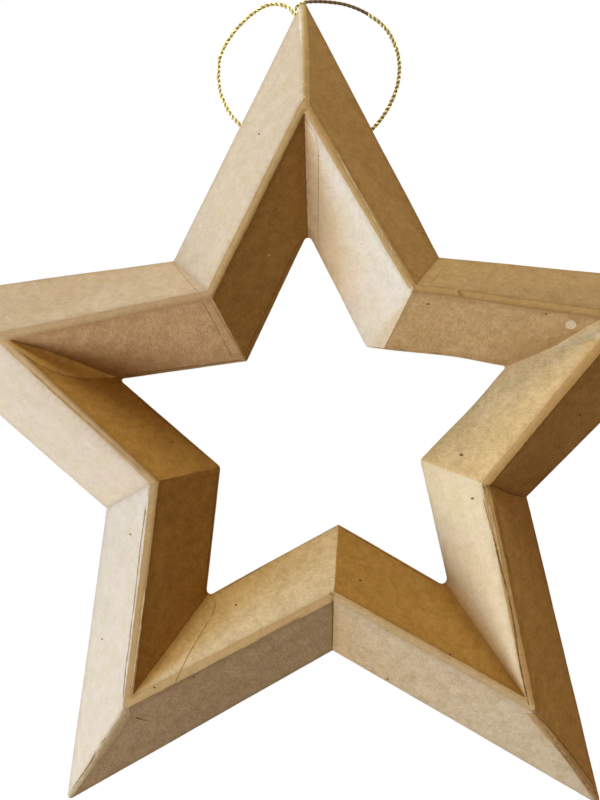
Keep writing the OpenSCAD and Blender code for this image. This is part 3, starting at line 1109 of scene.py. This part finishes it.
specks = Build()
for px, py, size in FLECKS:
    blot(specks, px, py, size, FLECK_HIGH_MM, FLECK_BROWN, FLECK_FLAT)
for px, py, size in PALE_DOTS:
    blot(specks, px, py, size, DOT_HIGH_MM, DOT_PALE, DOT_FLAT)
for hair in HAIRS:
    line = even_line(smooth_line([Vector((x, y, 0)) for x, y in hair], HAIR_STEPS), HAIR_STEP_PX)
    spots = [seen_at(p.x, p.y) for p in line]
    specks.tube([at + facing * HAIR_HIGH_MM * MM for at, facing in spots], HAIR_R_MM * MM, HAIR_SIDES,
                mark=BARK, taper=True)
specks.piece("flecks_and_hairs", scrap_paper, "kraft_card", "sheet")
print("flecks, dots and hairs:", len(FLECKS + PALE_DOTS + HAIRS), "with faces:", len(specks.faces))

# %% [markdown]
# ## Lamps
# The star was lit by a large window on the left and warm light from above. Sun lamps would make
# hard borders between the slopes. Round area lamps wider than the star give the same soft change
# from face to face. One more stands behind, where the photograph shows nothing, so that the back is
# as bright as the front.

# %% Lamps
LAMP_FAR = 0.9
LAMP_SIZE = 0.55
LAMPS = [
    ("window", (-1.0, -0.45, -0.5), 6.8, (1.0, 0.99, 0.90)),
    ("sky_light", (-1.0, -0.1, 0.0), 14.3, (0.24, 0.52, 1.0)),
    ("warm_top", (0.0, -0.15, 1.0), 5.4, (1.0, 0.88, 0.54)),
    ("behind", (0.3, 1.0, 0.25), 5.4, (0.8, 0.92, 1.0)),
]

for name, towards, power, colour in LAMPS:
    light = bpy.data.lights.new(name, "AREA")
    light.shape = "DISK"
    light.size = LAMP_SIZE
    light.energy = power
    light.color = colour
    lamp = bpy.data.objects.new(name, light)
    lamp.location = TARGET + Vector(towards).normalized() * LAMP_FAR
    lamp.rotation_mode = "QUATERNION"
    lamp.rotation_quaternion = Vector(towards).normalized().to_track_quat("Z", "Y")
    bpy.context.scene.collection.objects.link(lamp)
print("lamps:", [lamp[0] for lamp in LAMPS])

# %% [markdown]
# ## Floor and background
# The star hangs over a plain pale floor, well below it. The white background is only what the
# camera and the gold see, so it adds no light to the card. A little glow that only the camera sees
# keeps the floor pale without more light on the star.

# %% Floor
FLOOR_Z = -1.0
FLOOR_R = 1.6
FLOOR_SIDES = 96
FLOOR_PALE = (0.82, 0.81, 0.79)
FLOOR_GLOW = (0.42, 0.46, 0.50)

floor_build = bmesh.new()
bmesh.ops.create_circle(floor_build, cap_ends=True, segments=FLOOR_SIDES, radius=FLOOR_R,
                        matrix=Matrix.Translation((0, 0, FLOOR_Z)))
floor_mesh = bpy.data.meshes.new("floor")
floor_build.to_mesh(floor_mesh)
floor_build.free()
floor = bpy.data.objects.new("floor", floor_mesh)
bpy.context.scene.collection.objects.link(floor)
floor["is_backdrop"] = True
pale = Finish("pale floor", Base_Color=FLOOR_PALE, Roughness=0.9, Emission_Strength=1.0)
in_view = Wire(pale.tree, pale.tree.nodes.new("ShaderNodeLightPath").outputs["Is Camera Ray"])
floor_mesh.materials.append(pale.set(Emission_Color=pale.mixed(in_view, BLACK, FLOOR_GLOW)))
print("floor:", round(2 * FLOOR_R, 1), "m across, at a height of", FLOOR_Z, "m")

# %% Background
ROOM_GLOW = (1.0, 0.49, 0.06)
ROOM_STRENGTH = 0.185

world = bpy.data.worlds.new("studio")
bpy.context.scene.world = world
world.use_nodes = True
tree = world.node_tree
tree.nodes.clear()
path = tree.nodes.new("ShaderNodeLightPath")
seen, in_gloss, in_glass = (Wire(tree, path.outputs[f"Is {ray} Ray"])
                            for ray in ("Camera", "Glossy", "Transmission"))
seen = seen.most(in_gloss).most(in_glass)
room = seen.node("ShaderNodeBackground", Color=ROOM_GLOW, Strength=ROOM_STRENGTH)
white = seen.node("ShaderNodeBackground", Color=WHITE, Strength=1.0)
both = seen.node("ShaderNodeMixShader")
plug(tree, both.inputs[0], seen)
plug(tree, both.inputs[1], Wire(tree, room.outputs[0]))
plug(tree, both.inputs[2], Wire(tree, white.outputs[0]))
output = tree.nodes.new("ShaderNodeOutputWorld")
tree.links.new(both.outputs[0], output.inputs["Surface"])

# %% [markdown]
# ## Size
# The dressed star is meant to stay as large as the solid one, so the solid model's box is printed at
# the start and here how far each side of the dressed star's box has moved.

# %% Sizes
made_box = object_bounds()
for cad_corner, made_corner in zip(cad_box, made_box):
    print("moved by mm:", [round((made - cad) / MM, 2) for cad, made in zip(cad_corner, made_corner)])
